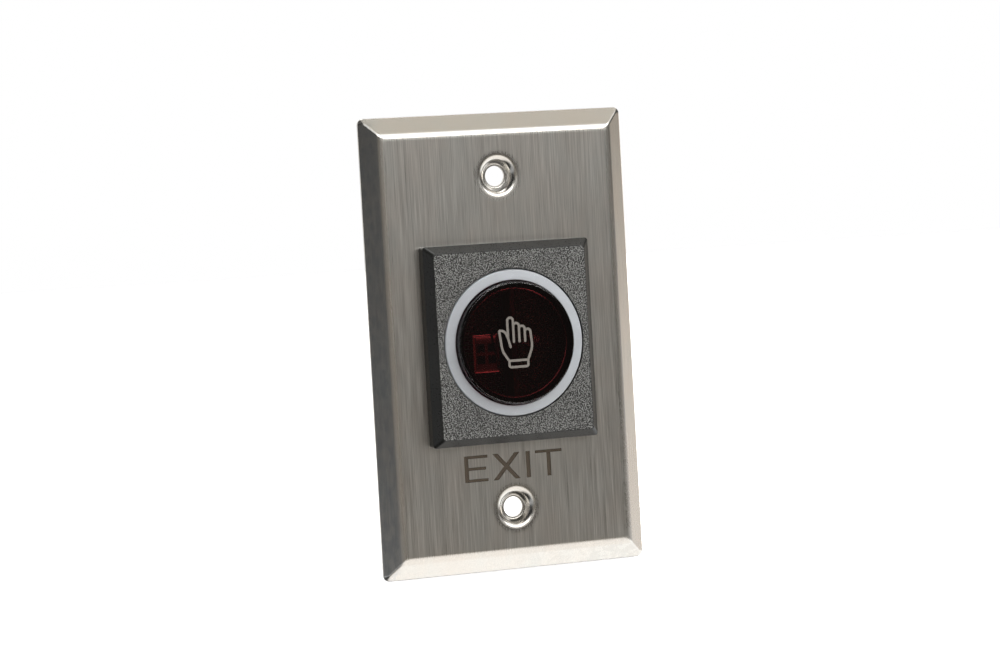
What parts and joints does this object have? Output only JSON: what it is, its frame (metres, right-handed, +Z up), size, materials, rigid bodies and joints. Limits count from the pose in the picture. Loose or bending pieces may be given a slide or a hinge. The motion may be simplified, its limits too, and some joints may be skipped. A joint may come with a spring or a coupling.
{
  "type": "touch-free door exit button",
  "caption": "Touch-free door exit button: infrared sensor behind a dark round window with a light ring, in a square black bezel on a bevelled steel wall plate.",
  "frame": {"origin": "centre of the plate, on the wall plane that the rim rests on", "axes": "+Z up the wall, +X to the right as seen from the front, -Y out of the wall towards the hand, +Y into the wall box"},
  "size_m": [0.07, 0.029, 0.115],
  "materials": {
    "brushed_plate": "vertical satin brushing, bright bends at the rim and the screw seats",
    "bezel_plastic": "black moulded plastic with a coarse spark-eroded grain on its face",
    "ring_diffuser": "milky translucent diffuser, smooth, unlit",
    "window_tint": "very dark red clear plastic, polished",
    "print_beige": "beige-grey print",
    "black_plastic": "black moulded plastic, fine grain",
    "circuit_board": "green solder mask over glass laminate",
    "lamp_clear": "clear blue-tinted epoxy",
    "receiver_epoxy": "dark filter epoxy",
    "tin_plate": "bright tinned sheet",
    "lamp_white": "white lamp body with a yellow lens",
    "chip_black": "black mould compound with tinned legs",
    "small_part": "fired ceramic chips with tinned ends",
    "screw_steel": "bright zinc plate",
    "header_black": "black strip plastic",
    "pin_brass": "tinned brass",
    "relay_case": "blue moulded case",
    "terminal_green": "green moulded plastic",
    "clamp_steel": "plated steel cage",
    "capacitor_sleeve": "shrunk sleeve with a bare aluminium top",
    "diode_black": "black body with a pale band, tinned leads",
    "trimmer_blue": "blue moulded body",
    "rotor_white": "cream slotted rotor"
  },
  "bodies": {
    "body": {"wall_plate": "brushed_plate", "bezel": "bezel_plastic", "light_ring": "ring_diffuser", "sensor_window": "window_tint", "hand_symbol": "print_beige", "light_baffle": "black_plastic", "sensor_board": "circuit_board", "sensor_board_parts": "small_part", "ir_emitter": "lamp_clear", "ir_receiver": "receiver_epoxy", "receiver_shield": "tin_plate", "ring_leds": "lamp_white", "controller_chip": "chip_black", "board_spacers": "black_plastic", "board_screws": "screw_steel", "board_header": "header_black", "header_pins": "pin_brass", "relay_board": "circuit_board", "relay_board_parts": "small_part", "relay": "relay_case", "terminal_block": "terminal_green", "wire_clamps": "clamp_steel", "terminal_screws": "screw_steel", "filter_capacitor": "capacitor_sleeve", "protection_diode": "diode_black", "delay_trimmer": "trimmer_blue", "distance_trimmer": "trimmer_blue", "rear_cover": "black_plastic", "cover_screws": "screw_steel"},
    "delay_rotor": {"delay_rotor": "rotor_white"},
    "distance_rotor": {"distance_rotor": "rotor_white"}
  },
  "joints": [
    {"name": "delay_turn", "type": "hinge", "parent": "body", "child": "delay_rotor", "pos_m": [-0.0044, 0.0098, -0.0056], "axis": [0, 1, 0], "range_deg": [-135, 135]},
    {"name": "distance_turn", "type": "hinge", "parent": "body", "child": "distance_rotor", "pos_m": [0.0044, 0.0098, -0.0056], "axis": [0, 1, 0], "range_deg": [-135, 135]}
  ]
}
